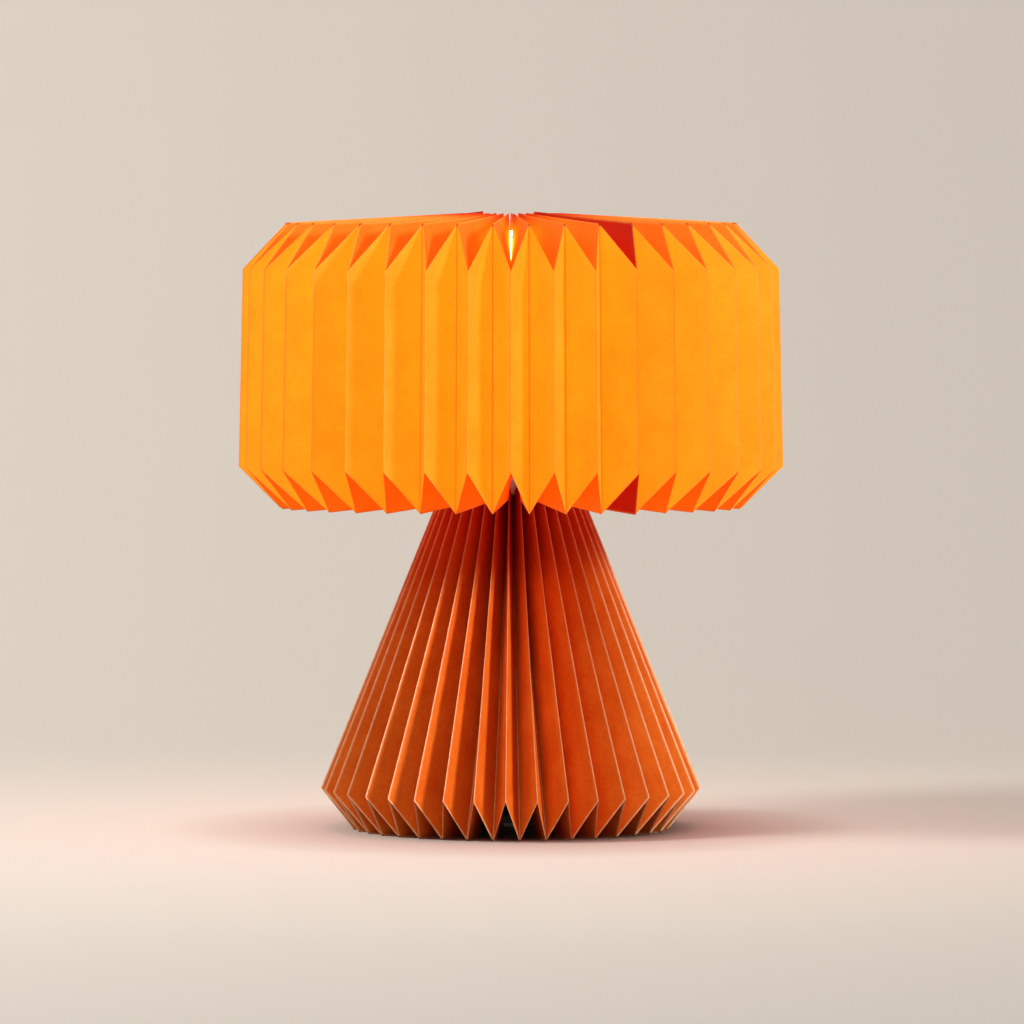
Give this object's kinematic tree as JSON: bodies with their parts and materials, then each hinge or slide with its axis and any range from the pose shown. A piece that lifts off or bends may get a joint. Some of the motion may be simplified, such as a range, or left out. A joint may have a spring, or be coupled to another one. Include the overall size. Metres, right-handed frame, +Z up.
{
  "type": "table lamp",
  "caption": "Free-standing table lamp with a folded paper drum shade hung over a conical folded paper foot, with a screw-cap bulb inside the shade.",
  "frame": {"origin": "on the table, under the centre of the lamp", "axes": "+Z up along the lamp pipe, -Y towards the front"},
  "size_m": [0.3786, 0.38, 0.4305],
  "materials": {
    "orange_paper": "matte",
    "gather_thread": "matte",
    "zinc_steel": "satin",
    "coated_steel": "satin",
    "black_rubber": "matte",
    "white_plastic": "satin",
    "wire_sleeving": "satin",
    "porcelain": "gloss",
    "brass": "satin",
    "cap_metal": "satin",
    "opal_glass": "satin",
    "clear_glass": "gloss",
    "black_glass": "gloss",
    "filament": "satin"
  },
  "bodies": {
    "stand": {"foot_sheet": "orange_paper", "foot_gather_cord": "gather_thread", "neck_nuts": "zinc_steel", "plate_washers": "zinc_steel", "plate_nuts": "zinc_steel", "lamp_pipe": "zinc_steel", "terminal_screws": "zinc_steel", "neck_collar": "zinc_steel", "neck_cap": "coated_steel", "weight_plate": "coated_steel", "shade_carrier": "coated_steel", "rubber_pads": "black_rubber", "cord_bush": "white_plastic", "holder_skirt": "white_plastic", "holder_barrel": "white_plastic", "ring_nuts": "white_plastic", "lead_wires": "wire_sleeving", "holder_insert": "porcelain", "holder_screw_sleeve": "brass", "holder_centre_contact": "brass", "terminal_blocks": "brass"},
    "shade": {"shade_sheet_right": "orange_paper", "shade_sheet_left": "orange_paper", "roof_gather_cord": "gather_thread", "floor_gather_cord": "gather_thread"},
    "bulb_carriage": {"bulb_tip": "brass", "bulb_insulator": "black_glass"},
    "bulb": {"bulb_cap": "cap_metal", "bulb_glass": "opal_glass", "bulb_stem": "clear_glass", "bulb_filaments": "filament", "bulb_supports": "zinc_steel"}
  },
  "joints": [
    {"name": "shade_lift", "type": "slide", "parent": "stand", "child": "shade", "axis": [0, 0, 1], "range_m": [0, 0.22]},
    {"name": "bulb_rise", "type": "slide", "parent": "stand", "child": "bulb_carriage", "axis": [0, 0, 1], "range_m": [0, 0.01814]},
    {"name": "bulb_screw", "type": "hinge", "parent": "bulb_carriage", "child": "bulb", "pos_m": [0, 0, 0.339], "axis": [0, 0, 1], "range_deg": [0, 1800]}
  ],
  "couplings": [
    {"joint": "bulb_screw", "follows": "bulb_rise", "rad_per_m": 1731.4}
  ]
}
